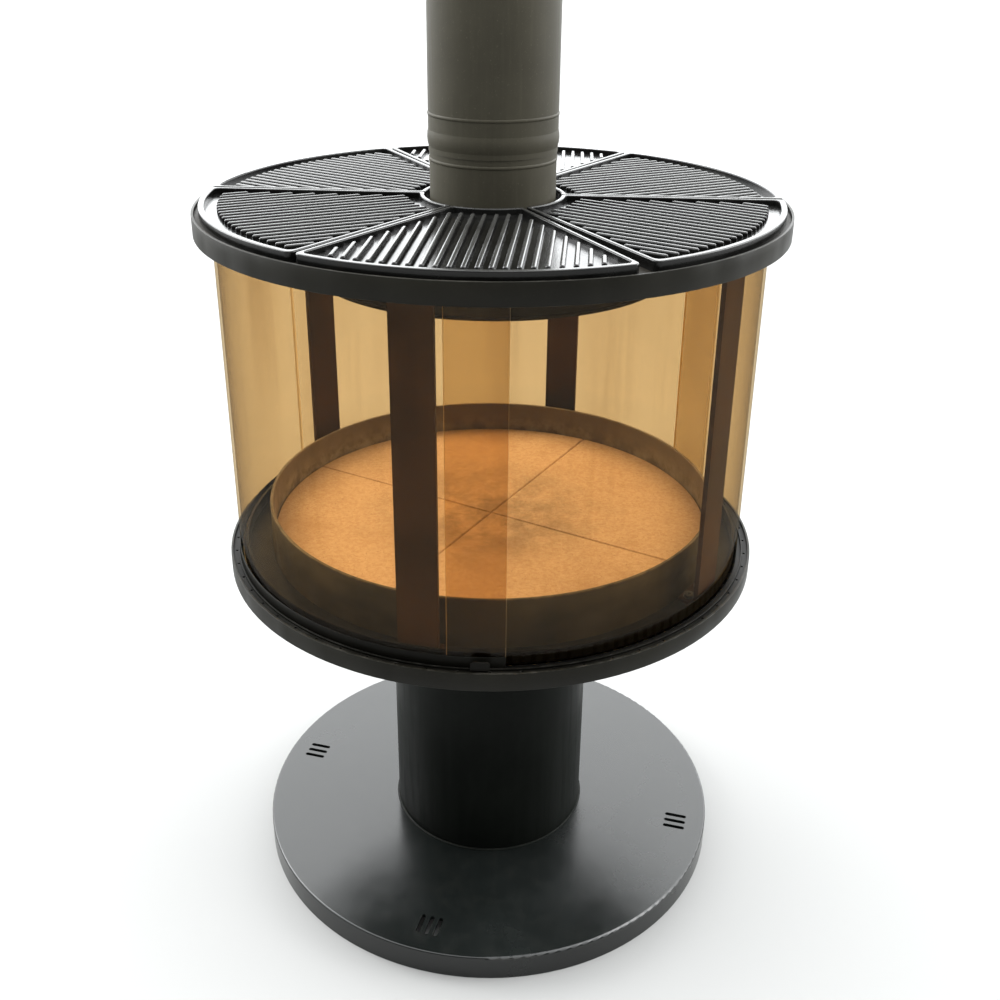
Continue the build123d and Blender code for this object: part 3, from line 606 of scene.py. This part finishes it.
# Paints, each on its own sub-parts
base_paint = painted("base_black", BASE_BLACK, 0.22, gloss=0.50, dust=0.012, wear=0.2, mottle=0.15)
column_paint = painted("column_black", COLUMN_BLACK, 0.50, gloss=0.06, dust=0.05, wear=0.2, streaks=0.2)
ledge_paint = painted("ledge_black", LEDGE_BLACK, 0.44, gloss=0.07, dust=0.03, wear=0.3)
band_paint = painted("band_black", BAND_BLACK, 0.45, wear=0.35)
post_paint = painted("post_black", POST_BLACK, 0.55, wear=0.25, peel=0.06, mottle=0.4)
frame_paint = painted("frame_black", FRAME_BLACK, 0.55, wear=0.3)
flue_paint = painted("flue_black", FLUE_GREY, 0.52, gloss=0.10, dust=0.1, wear=0.2, streaks=0.10, mottle=0.15)
cap_paint = painted("cap_black", FLUE_GREY, 0.52, gloss=0.14, dust=0.2, wear=0.35, mottle=0.2)
rail_paint = painted("rail_black", LEDGE_BLACK, 0.44, gloss=0.07, dust=0.05, wear=0.2)
primer = painted("primer_black", PRIMER_BLACK, 0.6, dust=0.2, wear=0.0)

coat(base_paint, "base_plate")
coat(column_paint, "column_tube")
coat(primer, "column_foot_flange", "column_head_flange")
coat(ledge_paint, "hearth_plate", "track_lip", "inner_hoop")
coat(band_paint, "lower_band", "top_band")
coat(post_paint, *numbered("post", 4))
coat(frame_paint, "top_frame", "outer_guide_hoop", "inner_guide_hoop", "smoke_baffle", "flue_collar")
coat(flue_paint, "flue_stub", "flue_section")
coat(cap_paint, "cap_collar", "cap_struts", "cap_cone")
coat(rail_paint, "door_bottom_rail", "door_top_rail", "door_pull")

# Other finishes and rounded edges
coat_hearth()
coat_glazing()
coat_fasteners()
soften_sheet()

# Weld beads
column_low, column_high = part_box("column_tube")
ledge_low, ledge_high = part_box("hearth_plate")
frame_low, frame_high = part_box("top_frame")
pull_low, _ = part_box("door_pull")
ring = [FULL_RING]
stitches = [(360.0 / STITCH_COUNT * index + STITCH_START, STITCH_SWEEP) for index in range(STITCH_COUNT)]
weld_bead("weld_column_foot", column_high.x, column_low.z, COLUMN_BEAD, ring, column_paint)
weld_bead("weld_column_head", column_high.x, column_high.z, COLUMN_BEAD, ring, column_paint)
weld_bead("weld_lower_band", ledge_high.x, ledge_low.z, BAND_BEAD, stitches, band_paint)
weld_bead("weld_top_band", frame_high.x, frame_low.z, BAND_BEAD, stitches, band_paint)
weld_bead("weld_pull", RAIL_RADIUS, pull_low.z + PULL_SHEET, PULL_BEAD, [PULL_ARC],
          rail_paint, DOOR)

# Lap seams
section_low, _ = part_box("flue_section")
collar_low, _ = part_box("cap_collar")
lap_seam("flue_lap_seam", PIPE_RADIUS, section_low.z + LAP_START, collar_low.z,
         FLUE_SEAM_BEARING, FLUE_SEAM_WIDTH, FLUE_SEAM_RISE, flue_paint)
lap_seam("column_seam", column_high.x, column_low.z + SEAM_MARGIN, column_high.z - SEAM_MARGIN,
         COLUMN_SEAM_BEARING, COLUMN_SEAM_WIDTH, COLUMN_SEAM_RISE, column_paint)


def pale_floor():
    """Plain matt floor, wide enough to reach the horizon."""
    corners = [(-FLOOR_REACH, -FLOOR_REACH, 0), (FLOOR_REACH, -FLOOR_REACH, 0)]
    corners += [(FLOOR_REACH, FLOOR_REACH, 0), (-FLOOR_REACH, FLOOR_REACH, 0)]
    mesh = bpy.data.meshes.new("floor")
    mesh.from_pydata(corners, [], [(0, 1, 2, 3)])
    mesh.materials.append(Finish("pale_floor").finish(FLOOR, 0.9))
    floor = bpy.data.objects.new("floor", mesh)
    bpy.context.scene.collection.objects.link(floor)
    floor.location.z = -FLOOR_DROP


def studio_sky():
    """Soft sky, bright behind and above and dim on the camera's side, plain white where it is seen."""
    world = bpy.data.worlds.new("studio")
    bpy.context.scene.world = world
    world.use_nodes = True
    nodes_in = world.node_tree.nodes
    links = world.node_tree.links
    nodes_in.clear()
    direction = nodes_in.new("ShaderNodeTexCoord")
    split = nodes_in.new("ShaderNodeSeparateXYZ")
    links.new(direction.outputs["Generated"], split.inputs["Vector"])
    lean = nodes_in.new("ShaderNodeMath")
    lean.operation = "MULTIPLY_ADD"
    lean.inputs[1].default_value = SKY_LEAN
    links.new(split.outputs["Z"], lean.inputs[0])
    links.new(split.outputs["Y"], lean.inputs[2])
    level = nodes_in.new("ShaderNodeMapRange")
    level.interpolation_type = "SMOOTHSTEP"
    level.inputs["From Min"].default_value = SKY_SPAN[0]
    level.inputs["From Max"].default_value = SKY_SPAN[1]
    level.inputs["To Min"].default_value = SKY_FRONT
    level.inputs["To Max"].default_value = SKY_BACK
    links.new(lean.outputs["Value"], level.inputs["Value"])
    soft = nodes_in.new("ShaderNodeBackground")
    soft.inputs["Color"].default_value = SKY_COLOUR
    links.new(level.outputs["Result"], soft.inputs["Strength"])
    plain = nodes_in.new("ShaderNodeBackground")
    plain.inputs["Color"].default_value = (1.0, 1.0, 1.0, 1.0)
    seen = nodes_in.new("ShaderNodeLightPath")
    choice = nodes_in.new("ShaderNodeMixShader")
    links.new(seen.outputs["Is Camera Ray"], choice.inputs["Fac"])
    links.new(soft.outputs["Background"], choice.inputs[1])
    links.new(plain.outputs["Background"], choice.inputs[2])
    outcome = nodes_in.new("ShaderNodeOutputWorld")
    links.new(choice.outputs["Shader"], outcome.inputs["Surface"])


def softbox(name, place, aim, size, power, colour=(1.0, 1.0, 1.0)):
    lamp = bpy.data.lights.new(name, "AREA")
    lamp.shape = "RECTANGLE"
    lamp.size, lamp.size_y = size
    lamp.energy = power
    lamp.color = colour
    holder = bpy.data.objects.new(name, lamp)
    holder.location = place
    holder.rotation_mode = "QUATERNION"
    holder.rotation_quaternion = (Vector(aim) - Vector(place)).to_track_quat("-Z", "Y")
    bpy.context.scene.collection.objects.link(holder)


def photo_camera():
    """Camera where the object was seen from."""
    lens = bpy.data.cameras.new("camera")
    lens.lens = CAMERA_LENS
    lens.sensor_width = 36.0
    lens.shift_x, lens.shift_y = CAMERA_SHIFT
    lens.clip_start = 0.05
    lens.clip_end = 400.0
    camera = bpy.data.objects.new("camera", lens)
    heading = Matrix.Rotation(math.radians(CAMERA_TURN), 4, "Z")
    pitch = Matrix.Rotation(math.radians(90.0 - CAMERA_PITCH), 4, "X")
    roll = Matrix.Rotation(math.radians(CAMERA_ROLL), 4, "Z")
    camera.matrix_world = Matrix.Translation(CAMERA_PLACE) @ heading @ pitch @ roll
    bpy.context.scene.collection.objects.link(camera)
    bpy.context.scene.camera = camera


# Floor, light, camera and tone
pale_floor()
studio_sky()
softbox("key_left", place=(-2.6, 1.2, 2.6), aim=(0, 0, 0.8), size=(1.2, 2.4), power=90.0)
softbox("fill_right", place=(2.8, 0.2, 2.0), aim=(0, 0, 0.7), size=(1.0, 2.0), power=50.0)
softbox("front_fill", place=(0.9, -3.4, 3.0), aim=(0, 0, 0.8), size=(2.4, 1.6), power=20.0, colour=WARM_WHITE)
photo_camera()
bpy.context.scene.view_settings.view_transform = "Standard"
bpy.context.scene.view_settings.look = "None"
bpy.context.scene.cycles.transparent_max_bounces = GLASS_BOUNCES
